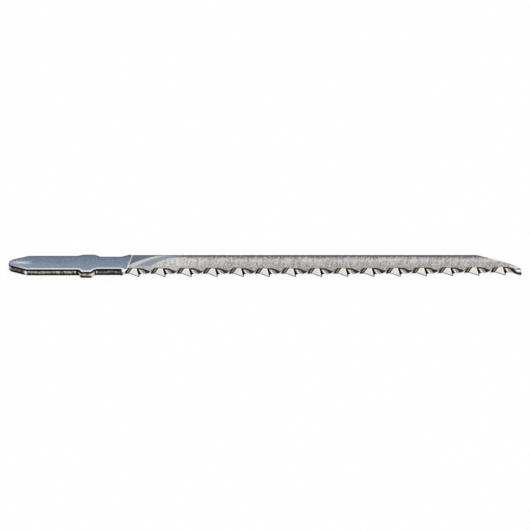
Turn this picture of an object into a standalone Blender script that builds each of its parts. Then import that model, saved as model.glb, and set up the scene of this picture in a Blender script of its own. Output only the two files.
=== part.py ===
# Jigsaw blade with a single-lug shank, for clean cuts in wood and laminate.
#
# It is one piece of tool steel. A blank is punched from strip, which rolls its upper
# edge over and leaves a lug on each side of the shank. The body behind the teeth is
# then ground thinner towards the back, and the teeth are cross ground: each gullet
# slants through the blade the other way from its neighbours, and each tooth is
# bevelled down to a chisel point, so the points lie on one face and the other in turn.
#
# The blade lies flat. +X runs from the shank to the free end, the teeth point to -Y,
# +Z is up, and the origin is at the middle of the underside of its bounding box.

import math

import bmesh
import bpy
from mathutils import Matrix

MM = 0.001

# The strip and the whole blade
LENGTH = 118.0 * MM
THICKNESS = 1.5 * MM
BODY_WIDTH = 7.65 * MM           # back edge to tooth points

# Shank: the nose that leads into the holder, the tang, the two lugs and the neck
TANG_WIDTH = 6.35 * MM
TANG_OFFSET = 0.285 * MM         # the tang's centre line lies this far towards the back
NOSE_RADIUS = 1.9 * MM
NOSE_HALF_ANGLE = math.radians(24.0)
LUG_WIDTH = 8.0 * MM             # across both lugs
LUG_START = 16.97 * MM           # from the nose to where the lugs reach full width
LUG_LENGTH = 2.6 * MM            # at full width
LUG_RAMP_BACK = 1.3 * MM         # the lug's flanks are gentle at the back
LUG_RAMP_FRONT = 0.6 * MM        # and steep on the side of the teeth

# Shoulder, where the neck widens into the body
SHOULDER_BACK = 27.5 * MM        # from the nose to where the body's back edge starts
SHOULDER_RAMP = 1.7 * MM
BACK_STEP = 1.04 * MM            # from the body's back edge in to the neck
FRONT_STEP = 0.86 * MM           # from the tooth points in to the neck
SHOULDER_ANGLE = math.radians(38.0)  # from the neck out to the first tooth point

# Free end: the back slopes down towards the teeth, and more steeply at the last
TIP_SLOPE_RUN = 10.7 * MM
TIP_CUT_RUN = 2.6 * MM           # of that, this is the steeper part
TIP_CUT_SHARE = 0.353            # and its share of the drop
END_HEIGHT = 0.52 * MM           # what is left above the tooth line at the end

# Round corners of the blank
SHANK_CORNER_RADIUS = 1.0 * MM
LUG_CORNER_RADIUS = 0.55 * MM
SHOULDER_CORNER_RADIUS = 2.0 * MM
TIP_CORNER_RADIUS = 3.0 * MM
ROLL_WIDTH = 0.8 * MM            # the punch rolls the blank's upper edge over
ROLL_DEPTH = 0.3 * MM
BURR_BREAK = 0.07 * MM           # and its lower edge is broken

# Taper-ground body
BACK_RELIEF = 0.15 * MM          # taken off each face at the back edge
RELIEF_START = 27.5 * MM         # from the nose
RELIEF_RUN_OUT = 0.4 * MM        # length of the slope where the grinding ends
FLAT_STRIP = 0.3 * MM            # full thickness above the gullets

# Teeth: the even ones, from 0 on, have their points on the upper face
FIRST_POINT = 27.13 * MM         # from the nose to the first tooth point
TOOTH_PITCH = 3.0 * MM
LOWER_POINT_LAG = 0.32 * MM      # the lower points stand this far past their even places
TOOTH_LINE_RISE = 0.95 * MM      # the tooth line curves up by this much at the free end
RISE_RUN = 51.0 * MM             # over this length
DEPTH_LOSS = 0.17                # and the teeth there are lower by this share
UPPER_GULLET_DEPTH = 1.52 * MM   # of the gullets in front of upper points
LOWER_GULLET_DEPTH = 1.36 * MM   # and of those in front of lower points
UPPER_RAKE_ANGLE = math.radians(30.0)  # from the point to the root, towards the free end
LOWER_RAKE_ANGLE = math.radians(2.0)
BACK_ANGLE = math.radians(34.0)  # back of each tooth, measured from the tooth line
UPPER_CROSS_ANGLE = math.radians(33.5)  # slant through the blade of the gullets
LOWER_CROSS_ANGLE = math.radians(25.0)  # in front of upper points and of lower ones
RAKE_ROOT_RADIUS = 0.2 * MM
BACK_ROOT_RADIUS = 1.0 * MM
POINT_FLAT = 0.06 * MM           # each point ends in this small flat
FLANK_HEIGHT = 1.3 * MM          # from the points to where each chisel flank starts
FLANK_LAND = 0.2 * MM            # thickness left below a flank at the point

ARC_STEP = math.radians(12.0)
ROLL_STEPS = 4
OVERCUT = 0.4 * MM               # cutters stand out of the blank by this much
TINY = 1e-7

# Places that follow from the sizes above, measured from the nose along X
# and from the line midway between the lugs' edges along Y
BACK_Y = LUG_WIDTH / 2
POINT_Y = BACK_Y - BODY_WIDTH
ROOT_Y = POINT_Y + max(UPPER_GULLET_DEPTH, LOWER_GULLET_DEPTH)
TANG_BACK_Y = TANG_OFFSET + TANG_WIDTH / 2
TANG_FRONT_Y = TANG_OFFSET - TANG_WIDTH / 2
NECK_BACK_Y = BACK_Y - BACK_STEP
NECK_FRONT_Y = POINT_Y + FRONT_STEP
LUG_BACK_Y = LUG_WIDTH / 2
LUG_FRONT_Y = -LUG_WIDTH / 2
LUG_END = LUG_START + LUG_LENGTH
TIP_SLOPE_START = LENGTH - TIP_SLOPE_RUN
TIP_CUT_START = LENGTH - TIP_CUT_RUN
RISE_START = LENGTH - RISE_RUN
TOOTH_COUNT = math.floor((LENGTH - FIRST_POINT - LOWER_POINT_LAG) / TOOTH_PITCH)


def rounded(corners):
    """Points of a closed outline whose corners (x, y, radius) are rounded by arcs."""
    points = []
    count = len(corners)
    for i, (x, y, radius) in enumerate(corners):
        before = corners[i - 1]
        after = corners[(i + 1) % count]
        angle_in = math.atan2(before[1] - y, before[0] - x)
        angle_out = math.atan2(after[1] - y, after[0] - x)
        opening = (angle_out - angle_in) % math.tau
        if opening > math.pi:
            opening -= math.tau
        if radius == 0.0:
            points.append((x, y))
            continue
        turn = math.pi - abs(opening)
        middle = angle_in + opening / 2
        to_centre = radius / math.sin(abs(opening) / 2)
        cx = x + to_centre * math.cos(middle)
        cy = y + to_centre * math.sin(middle)
        steps = 2 * math.ceil(turn / (2 * ARC_STEP) - 0.01)
        half = math.copysign(turn / 2, opening)
        for k in range(steps + 1):
            a = middle + math.pi + half - 2 * half * k / steps
            points.append((cx + radius * math.cos(a), cy + radius * math.sin(a)))
    return points


def point_x(tooth):
    """Distance of a tooth's point from the nose."""
    return FIRST_POINT + tooth * TOOTH_PITCH + (LOWER_POINT_LAG if tooth % 2 else 0.0)


def bend(x):
    """How far the tooth line has curved at a distance x from the nose, from 0 to 1."""
    return max(0.0, (x - RISE_START) / RISE_RUN) ** 2


def tooth_line_y(x):
    """Where the tooth points lie, at a distance x from the nose."""
    return POINT_Y + TOOTH_LINE_RISE * bend(x)


def on_tooth_line(section, x):
    """A section given from the tooth line (y, z), set where the line is at x."""
    line_y = tooth_line_y(x)
    share = 1 - DEPTH_LOSS * bend(x)
    return [(line_y + y * share, z) for y, z in section]


def shoulder_run():
    """Length of the sloping shoulder that makes the back of the first tooth."""
    return FRONT_STEP / math.tan(SHOULDER_ANGLE)


def blank_corners():
    """Corners (x, y, radius) of the punched blank, from the nose along the teeth and back.

    They run anticlockwise seen from above. The second value returned tells which of
    the sides, each named by the corner that it starts at, make up the tooth line.
    """
    half_tang = TANG_WIDTH / 2
    nose_apex = NOSE_RADIUS - NOSE_RADIUS / math.sin(NOSE_HALF_ANGLE)
    nose_end = nose_apex + half_tang / math.tan(NOSE_HALF_ANGLE)
    first_tooth = FIRST_POINT - POINT_FLAT / 2
    end_y = tooth_line_y(LENGTH) + END_HEIGHT
    tip_cut_y = end_y + TIP_CUT_SHARE * (BACK_Y - end_y)
    shank, lug = SHANK_CORNER_RADIUS, LUG_CORNER_RADIUS
    front = [
        (nose_apex, TANG_OFFSET, NOSE_RADIUS),
        (nose_end, TANG_FRONT_Y, shank),
        (LUG_START - LUG_RAMP_FRONT, TANG_FRONT_Y, lug),
        (LUG_START, LUG_FRONT_Y, lug),
        (LUG_END, LUG_FRONT_Y, lug),
        (LUG_END + LUG_RAMP_FRONT, NECK_FRONT_Y, lug),
        (first_tooth - shoulder_run(), NECK_FRONT_Y, 0.0),
    ]
    points = [point_x(tooth) for tooth in range(1, TOOTH_COUNT)]
    tooth_line = [first_tooth] + [x for x in points if x > RISE_START] + [LENGTH]
    tooth_line = [(x, tooth_line_y(x), 0.0) for x in tooth_line]
    back = [
        (LENGTH, end_y, 0.0),
        (TIP_CUT_START, tip_cut_y, 0.0),
        (TIP_SLOPE_START, BACK_Y, TIP_CORNER_RADIUS),
        (SHOULDER_BACK, BACK_Y, SHOULDER_CORNER_RADIUS),
        (SHOULDER_BACK - SHOULDER_RAMP, NECK_BACK_Y, SHOULDER_CORNER_RADIUS),
        (LUG_END + LUG_RAMP_BACK, NECK_BACK_Y, shank),
        (LUG_END, LUG_BACK_Y, shank),
        (LUG_START, LUG_BACK_Y, shank),
        (LUG_START - LUG_RAMP_BACK, TANG_BACK_Y, shank),
        (nose_end, TANG_BACK_Y, shank),
    ]
    kept = range(len(front), len(front) + len(tooth_line) - 1)
    return front + tooth_line + back, kept


def inset(corners, distance, kept):
    """The corners with each side but the kept ones moved inwards by a distance."""
    sides = []
    for i, (x, y, _) in enumerate(corners):
        after = corners[(i + 1) % len(corners)]
        angle = math.atan2(after[1] - y, after[0] - x)
        move = 0.0 if i in kept else distance
        sides.append((x - move * math.sin(angle), y + move * math.cos(angle), angle))
    moved = []
    for i, (x, y, radius) in enumerate(corners):
        if i in kept and i - 1 in kept:
            moved.append((x, y, radius))
            continue
        ax, ay, angle_a = sides[i - 1]
        bx, by, angle_b = sides[i]
        turn = math.sin(angle_b - angle_a)
        reach = ((bx - ax) * math.sin(angle_b) - (by - ay) * math.cos(angle_b)) / turn
        if radius > 0.0:
            radius = max(radius - math.copysign(distance, turn), TINY)
        moved.append((ax + reach * math.cos(angle_a), ay + reach * math.sin(angle_a), radius))
    return moved


def new_object(name, bm):
    """An object from a closed mesh, with its faces turned outwards."""
    bmesh.ops.recalc_face_normals(bm, faces=bm.faces)
    mesh = bpy.data.meshes.new(name)
    bm.to_mesh(mesh)
    bm.free()
    obj = bpy.data.objects.new(name, mesh)
    bpy.context.scene.collection.objects.link(obj)
    return obj


def join_rings(bm, ring, above):
    """A band of faces between two rings of as many points."""
    for i in range(len(ring)):
        j = (i + 1) % len(ring)
        bm.faces.new((ring[i], ring[j], above[j], above[i]))


def add_prism(bm, low, high):
    """Close two like outlines, lists of (x, y, z), into a solid."""
    bottom = [bm.verts.new(p) for p in low]
    top = [bm.verts.new(p) for p in high]
    bm.faces.new(list(reversed(bottom)))
    bm.faces.new(top)
    join_rings(bm, bottom, top)


def punched_blank():
    """The flat blank, its upper edge rolled over and its lower edge broken."""
    corners, kept = blank_corners()
    levels = [(0.0, BURR_BREAK), (BURR_BREAK, 0.0)]
    for k in range(ROLL_STEPS + 1):
        a = math.pi / 2 * k / ROLL_STEPS
        height = THICKNESS - ROLL_DEPTH * (1 - math.sin(a))
        levels.append((height, ROLL_WIDTH * (1 - math.cos(a))))
    bm = bmesh.new()
    rings = []
    for z, distance in levels:
        outline = rounded(inset(corners, distance, kept))
        rings.append([bm.verts.new((x, y, z)) for x, y in outline])
    bm.faces.new(list(reversed(rings[0])))
    bm.faces.new(rings[-1])
    for ring, above in zip(rings, rings[1:]):
        join_rings(bm, ring, above)
    return new_object("blade", bm)


def mirrored(points):
    """The same places seen from the blade's other face."""
    return [(x, y, THICKNESS - z) for x, y, z in points]


def relief_cutter(name, from_above):
    """What the taper grinding takes off one face, deepest at the back edge."""
    start_y = ROOT_Y + FLAT_STRIP
    slope = BACK_RELIEF / (BACK_Y - start_y)
    front_y, rear_y = start_y - OVERCUT, BACK_Y + OVERCUT
    far_x = LENGTH + OVERCUT

    def ground(y):
        return THICKNESS - slope * (y - start_y)

    lift = OVERCUT * RELIEF_RUN_OUT / BACK_RELIEF
    low = [
        (RELIEF_START, front_y, ground(front_y)),
        (far_x, front_y, ground(front_y)),
        (far_x, rear_y, ground(rear_y)),
        (RELIEF_START + RELIEF_RUN_OUT, rear_y, ground(rear_y)),
    ]
    high = [
        (RELIEF_START - lift, front_y, THICKNESS + OVERCUT),
        (far_x, front_y, THICKNESS + OVERCUT),
        (far_x, rear_y, THICKNESS + OVERCUT),
        (RELIEF_START - lift, rear_y, THICKNESS + OVERCUT),
    ]
    if not from_above:
        low, high = mirrored(low), mirrored(high)
    bm = bmesh.new()
    add_prism(bm, low, high)
    bmesh.ops.triangulate(bm, faces=bm.faces)
    return new_object(name, bm)


def slant(tooth):
    """Sideways shift of the gullet in front of a tooth, for each unit of thickness."""
    return math.tan(LOWER_CROSS_ANGLE if tooth % 2 else UPPER_CROSS_ANGLE)


def rake(tooth):
    """Angle of the wall between a tooth's point and the root of its gullet."""
    return LOWER_RAKE_ANGLE if tooth % 2 else UPPER_RAKE_ANGLE


def gullet_size(tooth):
    """Width and depth of the gullet in front of a tooth, on the face with its point."""
    width = point_x(tooth + 1) - point_x(tooth) + THICKNESS * slant(tooth) - POINT_FLAT
    return width, LOWER_GULLET_DEPTH if tooth % 2 else UPPER_GULLET_DEPTH


def root_ends(tooth):
    """Where a gullet's root starts and ends, from the tooth point at its left."""
    width, depth = gullet_size(tooth)
    return depth * math.tan(rake(tooth)), width - depth / math.tan(BACK_ANGLE)


def gullet_outline(tooth):
    """Outline of the gullet in front of a tooth, from the tooth's point."""
    width, depth = gullet_size(tooth)
    foot, heel = root_ends(tooth)
    below = -OVERCUT
    arcs_need = (
        BACK_ROOT_RADIUS * math.tan(BACK_ANGLE / 2)
        + RAKE_ROOT_RADIUS * math.tan((math.pi / 2 - rake(tooth)) / 2)
    )
    fit = min(1.0, 0.95 * (heel - foot) / arcs_need)
    return rounded([
        (below * math.tan(rake(tooth)), below, 0.0),
        (width - below / math.tan(BACK_ANGLE), below, 0.0),
        (heel, depth, BACK_ROOT_RADIUS * fit),
        (foot, depth, RAKE_ROOT_RADIUS * fit),
    ])


def gullet_cutters(name, first):
    """Every second gullet, from tooth number first on; these slant the same way."""
    outline = gullet_outline(first)
    bm = bmesh.new()
    for tooth in range(first, TOOTH_COUNT, 2):
        left = point_x(tooth) + POINT_FLAT / 2
        middle = left + TOOTH_PITCH / 2
        line_y = tooth_line_y(middle)
        share = 1 - DEPTH_LOSS * bend(middle)

        def level(z):
            return [(left + x - z * slant(first), line_y + y * share, z) for x, y in outline]

        low = level(-OVERCUT)
        high = level(THICKNESS + OVERCUT)
        if first % 2 == 0:
            low, high = mirrored(low), mirrored(high)
        add_prism(bm, low, high)
    return new_object(name, bm)


def root_reach(tooth, side):
    """From the point at the left or right of a gullet to the middle of its root."""
    middle = sum(root_ends(tooth)) / 2
    return middle if side == "left" else gullet_size(tooth)[0] - middle


def flank_cutters(name, first):
    """Bevels that bring every second tooth, from number first on, to a chisel point."""
    ahead, ahead_lean = root_reach(first, "left"), -slant(first)
    behind, behind_lean = root_reach(first - 1, "right"), slant(first - 1)
    rise = (THICKNESS - FLANK_LAND) / FLANK_HEIGHT
    top_z = THICKNESS + OVERCUT
    section = [
        (-OVERCUT, FLANK_LAND - rise * OVERCUT),
        (FLANK_HEIGHT + OVERCUT / rise, top_z),
        (-OVERCUT, top_z),
    ]
    bm = bmesh.new()

    def add_bevel(start, start_lean, end, end_lean, place):
        set_section = on_tooth_line(section, place)
        left = [(start + start_lean * z, y, z) for y, z in set_section]
        right = [(end + end_lean * z, y, z) for y, z in set_section]
        if first % 2 == 0:
            left, right = mirrored(left), mirrored(right)
        add_prism(bm, left, right)

    for tooth in range(first, TOOTH_COUNT, 2):
        point = point_x(tooth)
        add_bevel(point - behind, behind_lean, point + ahead, ahead_lean, point)
    if (TOOTH_COUNT - 1 - first) % 2 == 0:
        # the stub past the root of the last gullet is bevelled as the last tooth is
        stub_start = point_x(TOOTH_COUNT - 1) + root_ends(first)[1]
        add_bevel(stub_start, ahead_lean, LENGTH + OVERCUT, 0.0, LENGTH)
    return new_object(name, bm)


def cut(target, cutter):
    """Take a cutter's shape out of the target with a live Boolean."""
    cutter.hide_render = True
    cutter.display_type = "WIRE"
    modifier = target.modifiers.new(cutter.name, "BOOLEAN")
    modifier.operation = "DIFFERENCE"
    modifier.solver = "EXACT"
    modifier.object = cutter


def steel():
    """Ground tool steel."""
    material = bpy.data.materials.new("ground_tool_steel")
    material.use_nodes = True
    shader = material.node_tree.nodes["Principled BSDF"]
    shader.inputs["Base Color"].default_value = (0.42, 0.42, 0.41, 1.0)
    shader.inputs["Metallic"].default_value = 1.0
    shader.inputs["Roughness"].default_value = 0.35
    return material


def main():
    for obj in list(bpy.data.objects):
        bpy.data.objects.remove(obj, do_unlink=True)

    blade = punched_blank()
    cutters = [
        relief_cutter("relief_above", True),
        relief_cutter("relief_below", False),
        gullet_cutters("gullets_from_upper_points", 0),
        gullet_cutters("gullets_from_lower_points", 1),
        flank_cutters("flanks_of_upper_points", 2),
        flank_cutters("flanks_of_lower_points", 1),
    ]
    to_centre = Matrix.Translation((-LENGTH / 2, 0.0, 0.0))
    for obj in [blade] + cutters:
        obj.data.transform(to_centre)
    for cutter in cutters:
        cut(blade, cutter)
    blade.data.materials.append(steel())


main()
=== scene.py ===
import math

import bmesh
import bpy
from mathutils import Matrix, Vector


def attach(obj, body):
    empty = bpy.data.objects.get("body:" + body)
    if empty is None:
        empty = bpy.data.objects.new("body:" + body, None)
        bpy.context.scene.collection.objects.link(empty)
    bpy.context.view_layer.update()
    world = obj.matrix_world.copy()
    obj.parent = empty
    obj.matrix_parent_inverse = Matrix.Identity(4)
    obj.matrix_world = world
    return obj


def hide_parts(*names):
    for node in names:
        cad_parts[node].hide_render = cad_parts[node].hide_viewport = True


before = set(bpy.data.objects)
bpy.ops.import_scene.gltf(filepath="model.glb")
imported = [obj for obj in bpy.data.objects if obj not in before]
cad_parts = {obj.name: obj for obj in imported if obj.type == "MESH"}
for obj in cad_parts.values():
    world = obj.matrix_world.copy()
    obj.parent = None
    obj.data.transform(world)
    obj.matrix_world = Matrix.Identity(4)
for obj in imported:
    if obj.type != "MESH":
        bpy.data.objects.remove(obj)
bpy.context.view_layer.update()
mm = 0.001
print("frame loaded")

# The blade in millimetres: x runs from the nose of the shank, y from the middle between the lugs
blade = {
    "length": 118.0, "thickness": 1.5, "bodyWidth": 7.65,
    "tangWidth": 6.35, "tangOffset": 0.285, "noseRadius": 1.9, "noseHalfAngle": 24.0,
    "lugWidth": 8.0, "lugStart": 16.97, "lugLength": 2.6, "lugRampBack": 1.3, "lugRampFront": 0.6,
    "shoulderBack": 27.5, "shoulderRamp": 1.7, "backStep": 0.92, "frontStep": 0.86,
    "shoulderAngle": 38.0,
    "tipSlopeRun": 10.7, "tipCutRun": 2.6, "tipCutShare": 0.353, "endHeight": 0.52,
    "shankCorner": 1.0, "lugCorner": 0.55, "shoulderCorner": 2.0, "tipCorner": 3.0,
    "rollWidth": 1.0, "rollDepth": 0.3, "burrBreak": 0.07,      # what the punch leaves on the edges
    "backRollShare": 0.35, "rollBlend": 2.0,                    # the roll is smaller at the back
    "relief": 0.2, "reliefStart": 27.75, "reliefRunOut": 0.15, "flatStrip": 0.3,  # taper grinding
    "arcStep": 4.0, "arcMargin": 0.01, "rollSteps": 8, "leastRadius": 1e-4, "overcut": 0.4,
    "sliver": 0.001, "smoothAngle": 28.0,
}
teeth = {
    "firstPoint": 27.0, "pitch": 3.0, "lowerLag": 0.32,
    "lineRise": 0.95, "riseRun": 51.0, "depthLoss": 0.17,       # towards the free end
    "depth": (1.52, 1.36), "rakeAngle": (30.0, 2.0), "crossAngle": (33.5, 25.0),  # upper, lower
    "backAngle": 34.0, "rakeRoot": 0.2, "backRoot": 1.0, "rootFit": 0.95, "pointFlat": 0.06,
    "bevel": (0.2, 1.3), "endBevel": (0.55, 0.4),   # thickness left at the edge, bevel's height
}
backY = blade["lugWidth"] / 2
pointY = backY - blade["bodyWidth"]
lugStart, lugEnd = blade["lugStart"], blade["lugStart"] + blade["lugLength"]
tangFront = blade["tangOffset"] - blade["tangWidth"] / 2
tangBack = blade["tangOffset"] + blade["tangWidth"] / 2
backRun = 1 / math.tan(math.radians(teeth["backAngle"]))
riseStart = blade["length"] - teeth["riseRun"]
toothRoom = blade["length"] - teeth["firstPoint"] - teeth["lowerLag"]
toothCount = math.floor(toothRoom / teeth["pitch"])
finishes = ["rolledFace", "shearedEdge", "upperGullet", "lowerGullet", "groundBevel"]


class Wire:                                   # one output of a node; maths on it adds Math nodes
    def __init__(self, tree, socket):
        self.tree = tree
        self.socket = socket

    def node(self, kind, settings, values, output=0):
        made = self.tree.nodes.new(kind)
        for name, value in settings.items():
            setattr(made, name, value)
        for name, value in values.items():
            if isinstance(value, Wire):
                self.tree.links.new(value.socket, made.inputs[name])
            else:
                made.inputs[name].default_value = value
        return Wire(self.tree, made.outputs[output])

    def maths(self, operation, first, second=0.0):
        return self.node("ShaderNodeMath", {"operation": operation}, {0: first, 1: second})

    def larger(self, other):
        return self.maths("MAXIMUM", self, other)

    def smaller(self, other):
        return self.maths("MINIMUM", self, other)

    def __add__(self, other):
        return self.maths("ADD", self, other)

    def __radd__(self, other):
        return self.maths("ADD", other, self)

    def __sub__(self, other):
        return self.maths("SUBTRACT", self, other)

    def __rsub__(self, other):
        return self.maths("SUBTRACT", other, self)

    def __mul__(self, other):
        return self.maths("MULTIPLY", self, other)

    def __rmul__(self, other):
        return self.maths("MULTIPLY", other, self)

    def __truediv__(self, other):
        return self.maths("DIVIDE", self, other)

    def __mod__(self, other):
        return self.maths("FLOORED_MODULO", self, other)

    def __pow__(self, other):
        return self.maths("POWER", self, other)


def pointX(tooth):                            # even teeth point to the upper face, odd to the lower
    lag = teeth["lowerLag"] if tooth % 2 else 0.0
    return teeth["firstPoint"] + tooth * teeth["pitch"] + lag


def pointLineY(x):                            # the line of the points curves up to the free end
    return pointY + teeth["lineRise"] * max(0.0, (x - riseStart) / teeth["riseRun"]) ** 2


def lean(name, tooth):                        # slope of the rake or of the slant of a gullet
    return math.tan(math.radians(teeth[name][tooth % 2]))


def gulletPlaces(tooth):                      # width on the face with the point, ends of the root
    width = pointX(tooth + 1) - pointX(tooth) + blade["thickness"] * lean("crossAngle", tooth)
    width -= teeth["pointFlat"]
    depth = teeth["depth"][tooth % 2]
    return width, depth * lean("rakeAngle", tooth), width - depth * backRun


def rootMiddle(tooth, side):                  # from a gullet's left or right point to its root
    width, foot, heel = gulletPlaces(tooth)
    middle = (foot + heel) / 2
    return middle if side == "left" else width - middle


stubStart = pointX(toothCount - 1) + gulletPlaces(1)[2]         # what is left of one more tooth


def roundedOutline(corners):
    points = []
    for i, (x, y, radius) in enumerate(corners):
        before, after = corners[i - 1], corners[(i + 1) % len(corners)]
        if radius == 0.0:
            points.append((x, y))
            continue
        angleIn = math.atan2(before[1] - y, before[0] - x)
        angleOut = math.atan2(after[1] - y, after[0] - x)
        opening = (angleOut - angleIn) % math.tau
        if opening > math.pi:
            opening -= math.tau
        turn = math.pi - abs(opening)
        middle = angleIn + opening / 2
        toCentre = radius / math.sin(abs(opening) / 2)
        centreX, centreY = x + toCentre * math.cos(middle), y + toCentre * math.sin(middle)
        steps = turn / (2 * math.radians(blade["arcStep"]))
        steps = 2 * math.ceil(steps - blade["arcMargin"])
        half = math.copysign(turn / 2, opening)
        for k in range(steps + 1):
            a = middle + math.pi + half - 2 * half * k / steps
            points.append((centreX + radius * math.cos(a), centreY + radius * math.sin(a)))
    return points


def blankCorners():                           # anticlockwise, with the sides of the tooth line
    noseAngle = math.radians(blade["noseHalfAngle"])
    noseApex = blade["noseRadius"] * (1 - 1 / math.sin(noseAngle))
    noseEnd = noseApex + blade["tangWidth"] / 2 / math.tan(noseAngle)
    neckFront, neckBack = pointY + blade["frontStep"], backY - blade["backStep"]
    rampFront, rampBack = blade["lugRampFront"], blade["lugRampBack"]
    firstTooth = teeth["firstPoint"] - teeth["pointFlat"] / 2
    shoulderRun = blade["frontStep"] / math.tan(math.radians(blade["shoulderAngle"]))
    length = blade["length"]
    endY = pointLineY(length) + blade["endHeight"]
    cutY = endY + blade["tipCutShare"] * (backY - endY)
    shank, lug = blade["shankCorner"], blade["lugCorner"]
    front = [
        (noseApex, blade["tangOffset"], blade["noseRadius"]),
        (noseEnd, tangFront, shank),
        (lugStart - rampFront, tangFront, lug),
        (lugStart, -backY, lug),
        (lugEnd, -backY, lug),
        (lugEnd + rampFront, neckFront, lug),
        (firstTooth - shoulderRun, neckFront, 0.0),
    ]
    places = [x for x in map(pointX, range(1, toothCount)) if x > riseStart]
    line = [(x, pointLineY(x), 0.0) for x in [firstTooth] + places + [length]]
    back = [
        (length, endY, 0.0),
        (length - blade["tipCutRun"], cutY, 0.0),
        (length - blade["tipSlopeRun"], backY, blade["tipCorner"]),
        (blade["shoulderBack"], backY, blade["shoulderCorner"]),
        (blade["shoulderBack"] - blade["shoulderRamp"], neckBack, blade["shoulderCorner"]),
        (lugEnd + rampBack, neckBack, shank),
        (lugEnd, backY, shank),
        (lugStart, backY, shank),
        (lugStart - rampBack, tangBack, shank),
        (noseEnd, tangBack, shank),
    ]
    return front + line + back, range(len(front), len(front) + len(line) - 1)


def insetCorners(corners, distance, kept):    # sides move in, less at the back, not the kept ones
    sides = []
    for i, (x, y, radius) in enumerate(corners):
        after = corners[(i + 1) % len(corners)]
        angle = math.atan2(after[1] - y, after[0] - x)
        move = 0.0 if i in kept else distance * (blade["backRollShare"] if i > kept.stop else 1.0)
        sides.append((x - move * math.sin(angle), y + move * math.cos(angle), angle))
    moved = []
    for i, (x, y, radius) in enumerate(corners):
        if i in kept and i - 1 in kept:
            moved.append((x, y, radius))
            continue
        ax, ay, angleA = sides[i - 1]
        bx, by, angleB = sides[i]
        turn = math.sin(angleB - angleA)
        reach = ((bx - ax) * math.sin(angleB) - (by - ay) * math.cos(angleB)) / turn
        if radius > 0.0:
            radius = max(radius - math.copysign(distance, turn), blade["leastRadius"])
        moved.append((ax + reach * math.cos(angleA), ay + reach * math.sin(angleA), radius))
    return moved


def loft(bm, rings, finish, capFinish=None):  # a closed solid from rings with equal counts
    tag = bm.faces.layers.int.get("finish") or bm.faces.layers.int.new("finish")
    loops = [[bm.verts.new(Vector(point) * mm) for point in ring] for ring in rings]
    bottom = bm.faces.new(list(reversed(loops[0])))
    top = bm.faces.new(loops[-1])
    for cap in (bottom, top):
        cap[tag] = finish if capFinish is None else capFinish
    sides = 2 if capFinish is not None else len(loops)          # the blank's roll is like its cap
    for k, (ring, above) in enumerate(zip(loops, loops[1:])):
        for i in range(len(ring)):
            j = (i + 1) % len(ring)
            side = bm.faces.new((ring[i], ring[j], above[j], above[i]))
            side[tag] = finish if k < sides else capFinish


def newObject(name, bm):
    bmesh.ops.recalc_face_normals(bm, faces=bm.faces)
    mesh = bpy.data.meshes.new(name)
    bm.to_mesh(mesh)
    bm.free()
    made = bpy.data.objects.new(name, mesh)
    bpy.context.scene.collection.objects.link(made)
    return made


def punchedBlank():
    corners, kept = blankCorners()
    levels = [(0.0, 0.0, blade["burrBreak"]), (blade["burrBreak"], 0.0, 0.0)]
    for k in range(blade["rollSteps"] + 1):
        a = math.pi / 2 * k / blade["rollSteps"]
        drop = blade["rollDepth"] * (1 - math.sin(a))
        levels.append((blade["thickness"], drop, blade["rollWidth"] * (1 - math.cos(a))))
    rings = []
    for height, drop, distance in levels:     # the roll is shallower at the back as well
        outline = roundedOutline(insetCorners(corners, distance, kept))
        front = [0.5 - (y - blade["tangOffset"]) / blade["rollBlend"] for x, y in outline]
        front = [min(1.0, max(0.0, f)) for f in front]
        share = [blade["backRollShare"] * (1 - f) + f for f in front]
        rings.append([(x, y, height - drop * s) for (x, y), s in zip(outline, share)])
    bm = bmesh.new()
    loft(bm, rings, finishes.index("shearedEdge"), finishes.index("rolledFace"))
    return newObject("jigsawBlade", bm)


def mirrored(points):                         # the same places seen from the blade's other face
    return [(x, y, blade["thickness"] - z) for x, y, z in points]


def reliefCutters():                          # both faces are ground thinner towards the back
    startY = pointY + max(teeth["depth"]) + blade["flatStrip"]
    slope = blade["relief"] / (backY - startY)
    over = blade["overcut"]
    frontY, rearY, farX = startY - over, backY + over, blade["length"] + over
    start, top = blade["reliefStart"], blade["thickness"] + over
    lift = over * blade["reliefRunOut"] / blade["relief"]
    frontZ = blade["thickness"] - slope * (frontY - startY)
    rearZ = blade["thickness"] - slope * (rearY - startY)
    low = [
        (start, frontY, frontZ), (farX, frontY, frontZ), (farX, rearY, rearZ),
        (start + blade["reliefRunOut"], rearY, rearZ),
    ]
    high = [
        (start - lift, frontY, top), (farX, frontY, top), (farX, rearY, top),
        (start - lift, rearY, top),
    ]
    bm = bmesh.new()
    loft(bm, [low, high], finishes.index("rolledFace"))
    loft(bm, [mirrored(low), mirrored(high)], finishes.index("rolledFace"))
    bmesh.ops.triangulate(bm, faces=bm.faces)
    return newObject("taperGrinding", bm)


def gulletCutter(name, tooth):                # one gullet, from the point of the tooth at its left
    width, foot, heel = gulletPlaces(tooth)
    over, rake, cross = blade["overcut"], lean("rakeAngle", tooth), lean("crossAngle", tooth)
    depth = teeth["depth"][tooth % 2]
    halfBack = math.radians(teeth["backAngle"]) / 2
    halfRake = math.radians(90 - teeth["rakeAngle"][tooth % 2]) / 2
    need = teeth["backRoot"] * math.tan(halfBack) + teeth["rakeRoot"] * math.tan(halfRake)
    fit = min(1.0, teeth["rootFit"] * (heel - foot) / need)
    outline = roundedOutline([
        (-over * rake, -over, 0.0), (width + over * backRun, -over, 0.0),
        (heel, depth, teeth["backRoot"] * fit), (foot, depth, teeth["rakeRoot"] * fit),
    ])
    rings = []
    for z in (-over, blade["thickness"] + over):
        ring = [(x - z * cross + teeth["pointFlat"] / 2, y, z) for x, y in outline]
        rings.append(ring if tooth % 2 else mirrored(ring))
    bm = bmesh.new()
    loft(bm, rings, finishes.index(name))
    return newObject(name, bm)


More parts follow.
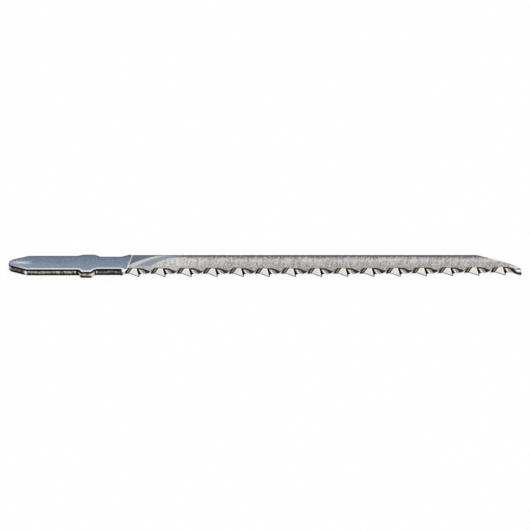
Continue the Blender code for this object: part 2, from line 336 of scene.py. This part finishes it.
def bevelCutter(name, tooth, start, startLean, end, endLean, size="bevel"):
    land, height = teeth[size]
    rise = (blade["thickness"] - land) / height
    over = blade["overcut"]
    top = blade["thickness"] + over
    section = [(-over, land - rise * over), (height + over / rise, top), (-over, top)]
    left = [(start + startLean * z, y, z) for y, z in section]
    right = [(end + endLean * z, y, z) for y, z in section]
    if tooth % 2 == 0:
        left, right = mirrored(left), mirrored(right)
    bm = bmesh.new()
    loft(bm, [left, right], finishes.index("groundBevel"))
    return newObject(name, bm)


def toothBevel(name, tooth, before):          # over a tooth, from root to root
    return bevelCutter(
        name, tooth, -rootMiddle(before, "right"), lean("crossAngle", before),
        rootMiddle(tooth, "left"), -lean("crossAngle", tooth),
    )


def endBevel():                               # on the stub after the last tooth, lower like it
    made = bevelCutter(
        "endBevel", 1, stubStart, -lean("crossAngle", 1), blade["length"] + blade["overcut"], 0.0,
        "endBevel",
    )
    lift = Matrix.Translation((0, pointLineY(blade["length"]) * mm, 0))
    made.data.transform(lift @ Matrix.Diagonal((1, 1 - teeth["depthLoss"], 1, 1)))
    return made


def toothCutting(materials):                  # the tree that cuts the row of teeth into the blank
    tree = bpy.data.node_groups.new("toothCutting", "GeometryNodeTree")
    inputs = {
        "NodeSocketGeometry": ["Blank"],
        "NodeSocketObject": [
            "Taper Grinding", "Upper Gullet", "Lower Gullet", "Upper Bevel", "Lower Bevel",
            "End Bevel",
        ],
        "NodeSocketInt": ["Teeth"],
        "NodeSocketFloat": [
            "First Point", "Pitch", "Lower Lag", "Point Line", "Line Rise", "Rise Start",
            "Rise Run", "Depth Loss",
        ],
    }
    sockets = {}
    for kind, names in inputs.items():
        for name in names:
            socket = tree.interface.new_socket(name, in_out="INPUT", socket_type=kind)
            sockets[name] = socket.identifier
    tree.interface.new_socket("Blade", in_out="OUTPUT", socket_type="NodeSocketGeometry")
    groupInput = tree.nodes.new("NodeGroupInput")
    given = {name: Wire(tree, groupInput.outputs[name]) for name in sockets}
    start = given["Pitch"]

    def shapeOf(name):
        return start.node("GeometryNodeObjectInfo", {}, {"Object": given[name]}, "Geometry")

    def vector(x, y=0.0, z=0.0):
        return start.node("ShaderNodeCombineXYZ", {}, {"X": x, "Y": y, "Z": z})

    def bend():                               # 0 where the tooth line is straight, 1 at the end
        place = start.node("GeometryNodeInputPosition", {}, {})
        run = start.node("ShaderNodeSeparateXYZ", {}, {0: place}, "X") - given["Rise Start"]
        return (run / given["Rise Run"]).larger(0.0) ** 2.0

    def repeated(name, first, ahead):         # along the curved line of every second tooth
        lag = (first % 2) * given["Lower Lag"]
        middle = given["First Point"] + first * given["Pitch"] + lag + ahead
        count = start.maths("FLOOR", (given["Teeth"] - first + 1) / 2.0)
        line = start.node(
            "GeometryNodeMeshLine", {"mode": "OFFSET"},
            {"Count": count, "Start Location": vector(middle, given["Point Line"]),
             "Offset": vector(2 * given["Pitch"])},
        )
        line = start.node(
            "GeometryNodeStoreNamedAttribute", {"data_type": "FLOAT_VECTOR", "domain": "POINT"},
            {"Geometry": line, "Name": "depth",
             "Value": vector(1.0, 1.0 - given["Depth Loss"] * bend(), 1.0)},
        )
        line = start.node(
            "GeometryNodeSetPosition", {},
            {"Geometry": line, "Offset": vector(0.0 - ahead, given["Line Rise"] * bend())},
        )
        kept = start.node(
            "GeometryNodeInputNamedAttribute", {"data_type": "FLOAT_VECTOR"}, {"Name": "depth"}
        )
        spread = start.node(
            "GeometryNodeInstanceOnPoints", {},
            {"Points": line, "Instance": shapeOf(name), "Scale": kept},
        )
        return start.node("GeometryNodeRealizeInstances", {}, {"Geometry": spread})

    shape = given["Blank"]
    for cutter in (
        shapeOf("Taper Grinding"),
        repeated("Upper Gullet", 0, given["Pitch"] / 2.0),
        repeated("Lower Gullet", 1, given["Pitch"] / 2.0),
        repeated("Upper Bevel", 2, 0.0), repeated("Lower Bevel", 1, 0.0),
        shapeOf("End Bevel"),
    ):
        shape = start.node(
            "GeometryNodeMeshBoolean", {"operation": "DIFFERENCE", "solver": "EXACT"},
            {"Mesh 1": shape, "Mesh 2": cutter},
        )
    shape = start.node("GeometryNodeRealizeInstances", {}, {"Geometry": shape})
    finish = start.node(
        "GeometryNodeInputNamedAttribute", {"data_type": "INT"}, {"Name": "finish"}
    )
    for number, material in enumerate(materials):
        chosen = start.node(
            "FunctionNodeCompare", {"data_type": "INT", "operation": "EQUAL"},
            {2: finish, 3: number},
        )
        shape = start.node(
            "GeometryNodeSetMaterial", {},
            {"Geometry": shape, "Selection": chosen, "Material": material},
        )
    groupOutput = tree.nodes.new("NodeGroupOutput")
    tree.links.new(shape.socket, groupOutput.inputs["Blade"])
    return tree, sockets


look = {
    # shankEdge is painted shade along the back edge, shankDark the blotches and the painted shade
    # towards the back, shankBright painted highlights
    "shank": (132, 145, 164), "shankEdge": (62, 73, 92), "shankDark": (100, 114, 134),
    "shankBright": (178, 190, 208),
    "wedge": (92, 105, 124), "band": (200, 202, 197), "stripe": (137, 149, 167),
    # groundEdge and groundBack are painted shade at the back edge, the ramp of ground tones painted
    # shading across the body
    "groundEdge": (62, 62, 64), "groundBack": (98, 98, 100), "groundHigh": (202, 201, 199),
    "groundMid": (172, 170, 167), "groundLow": (150, 147, 142), "groundFirst": (216, 213, 208),
    # roll is a painted highlight on the rolled edges, glint a brighter painted highlight
    "scratch": (118, 116, 114), "roll": (216, 220, 231), "glint": (252, 252, 252),
    # near black: painted shade on the punched edges, and the dark pits of the sheared wall
    "shadeAndPits": (16, 14, 14),
    "sheared": (200, 190, 174), "shearedLow": (118, 107, 95), "shearedDark": (66, 58, 52),
    # root, rootLow and rootBand are painted light and a painted reflection band on the gullet
    # walls; rootBand is also painted shade on the bevels
    "root": (222, 216, 206), "rootLow": (186, 176, 164), "rootBand": (150, 140, 130),
    # toothBack is the painted highlight of the lit tooth flanks, dark the painted shade in the
    # gullets and along their edges
    "toothBack": (234, 230, 223), "toothBackLow": (220, 214, 205), "dark": (22, 18, 15),
    # bevel is the painted highlight of the ground bevels
    "land": (104, 100, 94), "bevel": (242, 239, 233), "bevelLow": (228, 223, 215),
    "level": 0.88,                            # how much of the light the steel sends back
    "grindSlant": 0.09, "noseSlant": 0.04,    # how far two of the lines lean from square
    "behindPoint": 0.4,                       # a gullet's colours start so far before its point
    "groundRamp": [                           # the ground body's painted shading, from the tooth side to the back
        (0.26, "groundLow"), (0.42, "groundMid"), (0.52, "groundMid"), (0.69, "groundHigh"),
        (0.8, "groundMid"), (0.88, "groundBack"), (0.94, "groundEdge"),
    ],
    "arcs": [                                 # wheel marks: x and y of the middle, radius, softness
        (39.0, -10.0, 14.5, 0.16), (41.0, -10.0, 14.5, 0.2), (41.7, -6.6, 10.35, 0.35),
    ],
    "bump": {"face": 0.008, "edge": 0.02, "teeth": 0.0015},
}
grains = {                                    # noise: stretch on x, y and z, detail, roughness
    "fine": (0.9, 6.0, 6.0, 4.0, 0.6), "patch": (0.35, 0.8, 0.8, 3.0, 0.55),
    "brush": (3.2, 0.3, 0.3, 4.0, 0.65), "mottle": (1.9, 1.3, 1.3, 4.0, 0.7),
    "speckle": (3.0, 2.0, 2.0, 2.0, 0.5), "streak": (4.0, 4.0, 0.6, 4.0, 0.65),
    "blot": (1.6, 1.6, 3.0, 3.0, 0.6), "stain": (0.5, 0.5, 1.5, 3.0, 0.6),
    "pit": (2.2, 2.2, 2.6, 2.0, 0.5), "gullet": (5.0, 5.0, 0.7, 3.0, 0.6),
    "bevel": (8.0, 0.8, 0.8, 3.0, 0.6),
}
# Where the looks change, in millimetres: soft steps (from, to) and bands (from, to, softness)
along = {
    "tip": (0.2, 1.0), "rollStart": (0.8, 6.0), "noseGlint": (1.2, 4.8, 1.2),
    "backRollStart": (2.0, 7.0), "noseHighlight": (2.0, 7.5), "edgeNose": (3.4, 3.8),
    "litNose": (3.95, 4.5, 0.15), "backLineStart": (4.0, 6.0),
    "darkLug": (15.9, 16.38, 0.1), "litLug": (16.5, 16.9, 0.1), "litRamp": (19.45, 20.1, 0.1),
    "rampTop": (19.5, 20.05, 0.1), "darkRamp": (20.08, 20.4, 0.08), "neck": (20.2, 20.6),
    "edgeNeck": (20.3, 20.9), "litNeck": (20.42, 20.75, 0.1), "shoulder": (26.2, 26.7),
    "shoulderGlint": (26.2, 27.6, 0.3), "grindLine": (27.64, 27.9, 0.08), "grind": (27.74, 27.84),
    "lugBack": (lugStart - 0.6, lugEnd + 0.6, 0.6), "neckBack": (lugEnd + 0.6, 26.6, 0.6),
    "lugRoll": (lugStart - 0.3, lugEnd + 0.3, 0.3), "specks": (34.0, 38.0),
    "wheelEnd": (36.0, 42.0), "paleEnd": (36.0, 50.0), "teethFade": (95.0, 112.0),
    "stub": (stubStart - 0.9, stubStart - 0.8), "stubLine": (stubStart - 0.6, stubStart + 0.2),
}
across = {
    "lugRoll": (-3.1, -2.8), "shoulderGlint": (-2.7, -2.4), "shankShade": (-2.6, 2.7),
    "nearTeeth": (-1.1, -0.3), "front": (-1.0, -0.5), "steep": (-0.5, 0.5),
    "frontRoll": (-0.3, 0.3), "noseGlint": (0.05, 0.95, 0.45), "backRoll": (0.2, 0.6),
    "shankBack": (1.9, 2.7), "runOut": (2.0, 2.6), "paleBack": (2.0, 3.4), "worn": (2.9, 3.5),
    "wheelBack": (3.3, 3.8), "backLine": (-0.75, -0.2),
}
up = {                                        # steep and backRoll from the top face
    "steep": (-0.085, -0.055), "backRoll": (-0.004, -0.0005), "upperHalf": (0.7, 0.8),
    "rampTop": (0.4, 0.6), "edgeFoot": (0.4, 0.72), "edgeTop": (1.1, 1.18),
    "upperLand": (0.12, 0.26), "upperLow": (0.25, 0.55), "upperTop": (1.3, 1.42),
    "lowerLow": (0.2, 0.5), "lowerTop": (1.12, 1.26),
    "bevelStart": (0.2, 0.5), "stubGlint": (0.72, 0.86), "stubTop": (1.1, 1.24),
}
gulletBands = {                               # from the foot or the heel of a gullet's root
    "upperFoot": (0.16, 0.34), "upperRake": (-0.3, -0.12), "upperHeel": (-0.35, -0.1),
    "upperLine": (-0.55, -0.22, 0.08), "upperLand": (-0.2, 0.0),
    "lowerFoot": (0.24, 0.4), "lowerGlint": (0.45, 0.75, 0.12), "lowerHeel": (0.12, 0.42),
    "toothLine": (-0.27, -0.13), "stubLine": (-0.8, -0.45, 0.1),   # from the outline on the face
}


def colour(name):                             # a colour of the list above as the shader wants it
    parts = [value / 255 for value in look[name]]
    linear = [p / 12.92 if p <= 0.04045 else ((p + 0.055) / 1.055) ** 2.4 for p in parts]
    return tuple(min(1.0, value / look["level"]) for value in linear) + (1.0,)


def painted(base, *layers):                   # over the base, each with how much of it shows
    for share, over in layers:
        first, second = (colour(c) if isinstance(c, str) else c for c in (base, over))
        base = share.node(
            "ShaderNodeMix", {"data_type": "RGBA"}, {0: share, 6: first, 7: second}, 2
        )
    return base


def step(value, low, high):                   # rises softly from 0 at low to 1 at high
    return value.node(
        "ShaderNodeMapRange", {"interpolation_type": "SMOOTHSTEP"},
        {"Value": value, 1: low, 2: high},
    )


def until(value, low, high):                  # falls softly from 1 at low to 0 at high
    return 1.0 - step(value, low, high)


def between(value, low, high, soft):
    return step(value, low - soft, low + soft) * until(value, high - soft, high + soft)


def noise(x, y, z, name):
    onX, onY, onZ, detail, roughness = grains[name]
    place = x.node("ShaderNodeCombineXYZ", {}, {0: x * onX, 1: y * onY, 2: z * onZ})
    return place.node(
        "ShaderNodeTexNoise", {},
        {"Vector": place, "Scale": 1.0, "Detail": detail, "Roughness": roughness},
    )


def steelMaterial(name):                      # the material, its shader, and places in millimetres
    material = bpy.data.materials.new(name)
    material.use_nodes = True
    nodes = material.node_tree.nodes
    shader = nodes["Principled BSDF"]
    shader.inputs["Metallic"].default_value = 1.0
    place = Wire(material.node_tree, nodes.new("ShaderNodeTexCoord").outputs["Object"])
    x, y, z = (place.node("ShaderNodeSeparateXYZ", {}, {0: place}, axis) / mm for axis in "XYZ")
    return material, shader, x + blade["length"] / 2, y, z


def finishWith(shader, base, roughness, height, depth):
    tree = base.tree
    tree.links.new(base.socket, shader.inputs["Base Color"])
    tree.links.new(roughness.socket, shader.inputs["Roughness"])
    bump = height.node(
        "ShaderNodeBump", {}, {"Strength": 1.0, "Distance": depth * mm, "Height": height}
    )
    tree.links.new(bump.socket, shader.inputs["Normal"])


def acrossGullet(x, z, tooth):                # from the tooth's point, in the plane of its face
    height = z if tooth % 2 else blade["thickness"] - z
    shifted = x - pointX(tooth) + height * lean("crossAngle", tooth)
    return (shifted + look["behindPoint"]) % (2 * teeth["pitch"]) - look["behindPoint"]


def intoGullet(x, y, z, tooth):               # how far a place on the face is inside a gullet
    bend = ((x - riseStart) / teeth["riseRun"]).larger(0.0) ** 2.0
    deep = (y - (pointY + teeth["lineRise"] * bend)) / (1.0 - teeth["depthLoss"] * bend)
    place = acrossGullet(x, z, tooth)
    width, foot, heel = gulletPlaces(tooth)
    depth = teeth["depth"][tooth % 2]
    back = math.radians(teeth["backAngle"])
    fromBack = (width - place) * math.sin(back) - deep * math.cos(back)
    fromRake = place - deep * (foot / depth)
    return (depth - deep).smaller(fromBack).smaller(fromRake)


def shankColour(x, y, grain):                 # blue-grey and blotched, darker along the back edge as painted shade; painted highlights near the nose
    front = until(y, *across["shankShade"])
    blotches = step(grain["speckle"] * 0.6 + grain["patch"] * 0.4, 0.42, 0.58)
    glints = step(grain["speckle"] * 0.5 + grain["fine"] * 0.5, 0.5, 0.62)
    backLine = between(x, *along["lugBack"]) * (backY - tangBack) + tangBack
    neckDrop = tangBack - backY + blade["backStep"]
    backLine = backLine - between(x, *along["neckBack"]) * neckDrop
    nearBack = step(y - backLine, *across["backLine"]) * step(x, *along["backLineStart"])
    noseGlint = between(x, *along["noseGlint"]) * between(
        y + x * look["noseSlant"], *across["noseGlint"]
    )
    return painted(
        "shankDark", (front, "shank"), (blotches * 0.55, "shankDark"),
        (glints * (0.5 - step(y, *across["shankBack"]) * 0.4), "shankBright"),
        # painted highlight near the nose
        (until(x, *along["noseHighlight"]) * front * 0.3, "shankBright"),
        (nearBack * 0.7, "shankEdge"), (noseGlint * 0.75, "roll"),
    )


def groundColour(x, y, grain):                # brushed across, from pale to dark at the back edge, the light and dark being painted shading
    place = (y + backY) / blade["lugWidth"] + (grain["patch"] - 0.5) * 0.06
    ramp = y.node("ShaderNodeValToRGB", {}, {0: place})
    stops = ramp.socket.node.color_ramp.elements
    for position, name in look["groundRamp"][2:]:
        stops.new(position)
    for stop, (position, name) in zip(stops, look["groundRamp"]):
        stop.position, stop.color = position, colour(name)
    worn = grain["brush"] * 0.45 + grain["mottle"] * 0.55
    inside = 1.0 - step(y, *across["worn"]) * 0.6
    pale = until(x, *along["paleEnd"]) * until(y, *across["paleBack"])
    return painted(
        ramp, (pale * 0.9, "groundFirst"), (until(worn, 0.4, 0.52) * inside * 0.7, "scratch"),
        (step(worn, 0.48, 0.6) * inside * 0.65, "groundFirst"),
    )


def bodyColour(x, y, grain, body, base):      # the wheel's arcs, which run out along the back edge, with painted shade on that edge and a painted highlight where the grinding starts
    ground = groundColour(x, y, grain)
    base = painted(base, (body, "wedge"))
    for (middleX, middleY, radius, soft), over in zip(look["arcs"], ("band", "stripe", ground)):
        ahead = (middleX - x).larger(0.0)
        away = ((y - middleY) ** 2.0 + ahead ** 2.0) ** 0.5 + (grain["mottle"] - 0.5) * 0.12
        base = painted(base, (body * until(away, radius - soft, radius + soft), over))
    specks = grain["speckle"] * 0.5 + grain["mottle"] * 0.5
    past = step(x, *along["wheelEnd"])
    strip = painted(
        "scratch", (step(specks, 0.42, 0.58), "groundHigh"),
        (until(x, *along["paleEnd"]) * 0.4, "groundHigh"),
    )
    nearTeeth = until(y + grain["mottle"] * 0.9, *across["nearTeeth"]) * body
    return painted(
        base, (until(specks, 0.42, 0.6) * body * until(x, *along["specks"]) * 0.16, "scratch"),
        (step(y, *across["wheelBack"]) * body * (1.0 - past) * 0.6, "shankEdge"),
        (past * step(y, *across["runOut"]), ground), (nearTeeth * 0.8, strip),
        (between(x - y * look["grindSlant"], *along["grindLine"]), "roll"),
    )


def rollColour(x, y, z, shank, upper, base):  # painted highlights and painted shade: the light and dark lines on the punched edges
    down = z - blade["thickness"]
    neck = step(x, *along["neck"])
    lit = until(down, neck * 0.01 - 0.014, neck * 0.0012 - 0.002) * shank    # thinner on the neck
    backRoll = until(down, *up["backRoll"]) * step(y, *across["backRoll"]) * shank
    steep = until(down - neck * 0.025, *up["steep"]) * until(y, *across["steep"]) * shank
    lug = between(x, *along["lugRoll"]) * until(y, *across["lugRoll"])
    corner = between(x, *along["shoulderGlint"]) * until(y, *across["shoulderGlint"])
    return painted(
        base, (lit * upper * until(y, *across["frontRoll"]) * step(x, *along["rollStart"]), "roll"),
        (lug * upper * 0.8, "roll"),
        (backRoll * upper * (until(x, *along["backRollStart"]) * 0.4 + 0.45), "shadeAndPits"),
        (corner * upper, "glint"), (steep * upper * until(x, *along["shoulder"]), "shadeAndPits"),
    )


def faceSteel():
    material, shader, x, y, z = steelMaterial("rolledFace")
    names = ("fine", "patch", "brush", "mottle", "speckle")
    grain = {name: noise(x, y, z, name) for name in names}
    body = step(x - y * look["grindSlant"], *along["grind"])
    shank = 1.0 - body
    upper = step(z, *up["upperHalf"])
    base = bodyColour(x, y, grain, body, shankColour(x, y, grain))
    base = rollColour(x, y, z, shank, upper, base)
    # painted shade as a dark line on the face along the gullets' edges, and a painted highlight
    # along the stub
    gullets = intoGullet(x, y, z, 0).larger(intoGullet(x, y, z, 1))
    stubLine = between(gullets, *gulletBands["stubLine"]) * step(x, *along["stubLine"])
    toothLine = step(gullets, *gulletBands["toothLine"]) * body
    faded = 1.0 - step(x, *along["teethFade"]) * 0.7
    base = painted(base, (stubLine * upper, "glint"), (toothLine * upper * faded * 0.75, "dark"))
    height = grain["fine"] * shank * 0.4 + (grain["brush"] + grain["mottle"]) * 0.5 * body
    finishWith(shader, base, grain["fine"] * 0.14 + 0.24, height, look["bump"]["face"])
    return material


def edgeSteel():
    material, shader, x, y, z = steelMaterial("shearedEdge")
    streak, blot, stain, pit = (noise(x, y, z, name) for name in ("streak", "blot", "stain", "pit"))
    front = until(y, *across["front"])
    neck = step(x, *along["edgeNeck"])
    ends = neck.larger(until(x, *along["edgeNose"]))
    dark = ends * (0.45 + step(blot, 0.4, 0.6) * 0.5) + step(stain, 0.5, 0.66) * 0.55
    tip = until(x, *along["tip"])
    # painted highlights where the wall catches the light at the nose, lug, ramp and neck
    lit = between(x, *along["litNose"]) * 0.9 + between(x, *along["litLug"]) * 0.8
    lit = lit + between(x, *along["litRamp"])
    # painted shade on the ramps
    ramps = between(x, *along["darkRamp"]) * step(z, *up["rampTop"])
    ramps = ramps + between(x, *along["darkLug"])
    ragged = z + (blot - 0.5) * 0.3
    top = step(ragged - neck * 0.08, *up["edgeTop"]) * front * (1.0 - tip)
    # over the sheared tones: the painted highlights, then painted shade on the ramps, along the top
    # and at the foot
    base = painted(
        "shearedLow", (step(streak, 0.38, 0.62), "sheared"), (dark.smaller(0.92), "shearedDark"),
        (step(pit, 0.57, 0.66) * 0.8, "shadeAndPits"), (tip * 0.9, "sheared"),
        ((lit + between(x, *along["litNeck"]) * 0.5) * front, "toothBack"),
        (ramps * front, "shadeAndPits"),
        (top * (1.0 - between(x, *along["rampTop"])), "shadeAndPits"),
        (until(ragged, *up["edgeFoot"]) * (1.0 - lit * 0.7), "shadeAndPits"),
    )
    finishWith(shader, base, streak * 0.2 + 0.35, streak, look["bump"]["edge"])
    return material


def upperGullet():                            # in front of the upper points, its walls with painted light and painted shade
    material, shader, x, y, z = steelMaterial("upperGullet")
    marks = noise(x, y, z, "gullet")
    place = acrossGullet(x, z, 0)
    foot, heel = gulletPlaces(0)[1:]
    fromFoot, fromHeel = place - foot, place - heel
    low = until(z, *up["upperLow"])
    top = step(z, *up["upperTop"]) * between(place, foot, heel - 0.1, 0.1)
    land = until(z, *up["upperLand"]) * step(fromHeel, *gulletBands["upperLand"])
    band = painted("rootBand", (step(marks, 0.35, 0.65), "shearedLow"))
    # the lit tooth back, a painted reflection band at the root, painted shade at the heel, the rake
    # and the top
    base = painted(
        "toothBack", (step(marks, 0.4, 0.7), "toothBackLow"),
        (until(fromHeel, *gulletBands["upperHeel"]), band),
        (between(fromHeel, *gulletBands["upperLine"]) * 0.85, "dark"),
        (until(fromFoot - low * 0.22, *gulletBands["upperFoot"]), "dark"),
        (until(fromFoot + low * 0.15, *gulletBands["upperRake"]), "toothBack"),
        (top * 0.6, "dark"), (land, "land"),
    )
    finishWith(shader, base, marks * 0.1 + 0.22, marks, look["bump"]["teeth"])
    return material


def lowerGullet():                            # in front of the lower points, its walls with painted light and painted shade
    material, shader, x, y, z = steelMaterial("lowerGullet")
    marks = noise(x, y, z, "gullet")
    place = acrossGullet(x, z, 1)
    foot, heel = gulletPlaces(1)[1:]
    fromFoot, fromHeel = place - foot, place - heel
    low = until(z, *up["lowerLow"])
    # a lit root with a painted glint and a painted reflection band, painted shade at the heel, the
    # top and the rake
    base = painted(
        "root", (step(marks, 0.4, 0.7), "rootLow"),
        (between(fromFoot, *gulletBands["lowerGlint"]), "glint"),
        (between(place, foot + 0.8, heel + 0.4, 0.12) * (1.0 - low * 0.5) * 0.9, "rootBand"),
        (step(fromHeel - low * 0.35, *gulletBands["lowerHeel"]), "dark"),
        (step(z, *up["lowerTop"]), "dark"),
        (until(fromFoot - low * 0.18, *gulletBands["lowerFoot"]), "dark"),
    )
    finishWith(shader, base, marks * 0.1 + 0.22, marks, look["bump"]["teeth"])
    return material


def bevelSteel():
    material, shader, x, y, z = steelMaterial("groundBevel")
    marks = noise(x, y, z, "bevel")
    fromRoot = x - pointX(1) + rootMiddle(2, "right") - z * lean("crossAngle", 2)
    # painted shade where the bevel starts by the root
    start = until(fromRoot % (2 * teeth["pitch"]), 0.0, 0.6) * step(z, *up["bevelStart"])
    # the stub: painted shade below a painted highlight
    stub = painted(
        "shearedLow", (step(z, *up["stubGlint"]), "glint"), (step(z, *up["stubTop"]), "groundMid")
    )
    base = painted(
        "bevel", (step(marks, 0.45, 0.7), "bevelLow"), (start * 0.7, "rootBand"),
        (step(x, *along["stub"]), stub),
    )
    finishWith(shader, base, marks * 0.1 + 0.2, marks, look["bump"]["teeth"])
    return material


materials = [faceSteel(), edgeSteel(), upperGullet(), lowerGullet(), bevelSteel()]
print("materials made")

blank = punchedBlank()
cutters = {
    "Taper Grinding": reliefCutters(),
    "Upper Gullet": gulletCutter("upperGullet", 2),
    "Lower Gullet": gulletCutter("lowerGullet", 1),
    "Upper Bevel": toothBevel("upperBevel", 2, 1),
    "Lower Bevel": toothBevel("lowerBevel", 1, 2),
    "End Bevel": endBevel(),
}
measures = {
    "Teeth": toothCount, "First Point": teeth["firstPoint"] * mm, "Pitch": teeth["pitch"] * mm,
    "Lower Lag": teeth["lowerLag"] * mm, "Point Line": pointY * mm,
    "Line Rise": teeth["lineRise"] * mm, "Rise Start": riseStart * mm,
    "Rise Run": teeth["riseRun"] * mm, "Depth Loss": teeth["depthLoss"],
}
tree, sockets = toothCutting(materials)
cutting = blank.modifiers.new("toothCutting", "NODES")
cutting.node_group = tree
for name, value in {**cutters, **measures}.items():
    cutting[sockets[name]] = value
evaluated = blank.evaluated_get(bpy.context.evaluated_depsgraph_get())
mesh = bpy.data.meshes.new_from_object(evaluated)
blank.modifiers.clear()
blank.data = mesh
for cutter in cutters.values():
    bpy.data.objects.remove(cutter)
mesh.transform(Matrix.Translation((-blade["length"] / 2 * mm, 0, 0)))
bm = bmesh.new()                              # slivers that the cuts leave are closed up
bm.from_mesh(mesh)
bmesh.ops.remove_doubles(bm, verts=bm.verts, dist=blade["sliver"] * mm)
bmesh.ops.dissolve_degenerate(bm, edges=bm.edges, dist=blade["sliver"] * mm)
bm.to_mesh(mesh)
bm.free()
mesh.materials.pop(index=0)
mesh.attributes.remove(mesh.attributes["finish"])
mesh.polygons.foreach_set("use_smooth", [True] * len(mesh.polygons))
mesh.set_sharp_from_angle(angle=math.radians(blade["smoothAngle"]))
weighted = blank.modifiers.new("weighted", "WEIGHTED_NORMAL")
weighted.keep_sharp = True
weighted.weight = 100
evaluated = blank.evaluated_get(bpy.context.evaluated_depsgraph_get())
mesh = bpy.data.meshes.new_from_object(evaluated)
blank.modifiers.clear()
blank.data = mesh
print("teeth cut:", len(mesh.polygons), "faces")

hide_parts("blade")
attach(blank, "root")

studio = {
    "white": (1.0, 1.0, 1.0, 1.0), "worldStrength": 0.88,
    "floorSide": 6.0, "floorColour": (0.96, 0.96, 0.96, 1.0), "floorRoughness": 0.8,
    "floorGlow": 0.86, "lampSize": 1.2, "lampEnergy": 1.6, "lampHeight": 1.0,
}
view = {
    "azimuth": 7.0, "elevation": 30.97, "roll": -3.62, "distance": 5046.0, "lens": 1500.0,
    "aside": -0.055, "up": 0.9, "clipStart": 0.01,
}


def floorMaterial():                          # white to the camera and in the steel, with a shadow
    material = bpy.data.materials.new("paleFloor")
    material.use_nodes = True
    tree = material.node_tree
    shader = tree.nodes["Principled BSDF"]
    shader.inputs["Base Color"].default_value = studio["floorColour"]
    shader.inputs["Roughness"].default_value = studio["floorRoughness"]
    shader.inputs["Specular IOR Level"].default_value = 0.0
    path = tree.nodes.new("ShaderNodeLightPath")
    camera, glossy, passed = (
        Wire(tree, path.outputs[name])
        for name in ("Is Camera Ray", "Is Glossy Ray", "Is Transmission Ray")
    )
    seen = camera.larger(glossy).larger(passed)
    glow = seen.node("ShaderNodeEmission", {}, {"Color": studio["white"], "Strength": 1.0})
    surface = seen.node(
        "ShaderNodeMixShader", {},
        {0: seen * studio["floorGlow"], 1: Wire(tree, shader.outputs[0]), 2: glow},
    )
    tree.links.new(surface.socket, tree.nodes["Material Output"].inputs["Surface"])
    return material


half = studio["floorSide"] / 2
floorMesh = bpy.data.meshes.new("floor")
corners = [(-half, -half, 0), (half, -half, 0), (half, half, 0), (-half, half, 0)]
floorMesh.from_pydata(corners, [], [(0, 1, 2, 3)])
floorMesh.materials.append(floorMaterial())
floor = bpy.data.objects.new("floor", floorMesh)
bpy.context.scene.collection.objects.link(floor)

world = bpy.data.worlds.new("softLight")
bpy.context.scene.world = world
world.use_nodes = True
background = world.node_tree.nodes["Background"]
background.inputs["Color"].default_value = studio["white"]
background.inputs["Strength"].default_value = studio["worldStrength"]
lamp = bpy.data.lights.new("overheadLight", "AREA")
lamp.shape = "DISK"
lamp.size = studio["lampSize"]
lamp.energy = studio["lampEnergy"]
overhead = bpy.data.objects.new("overheadLight", lamp)
overhead.location = (0.0, 0.0, studio["lampHeight"])
bpy.context.scene.collection.objects.link(overhead)

azimuth, elevation = math.radians(view["azimuth"]), math.radians(view["elevation"])
flat = math.cos(elevation)
towards = Vector((math.sin(azimuth) * flat, -math.cos(azimuth) * flat, math.sin(elevation)))
turned = (-towards).to_track_quat("-Z", "Y").to_matrix()
turned = turned @ Matrix.Rotation(math.radians(view["roll"]), 3, "Z")
target = turned @ Vector((view["aside"], view["up"], 0.0)) * mm
place = Matrix.Translation(target + towards * view["distance"] * mm)
lens = bpy.data.cameras.new("camera")
lens.lens = view["lens"]
lens.clip_start = view["clipStart"]
camera = bpy.data.objects.new("camera", lens)
camera.matrix_world = place @ turned.to_4x4()
bpy.context.scene.collection.objects.link(camera)
bpy.context.scene.camera = camera
bpy.context.scene.view_settings.view_transform = "Standard"
print("camera and lights set")
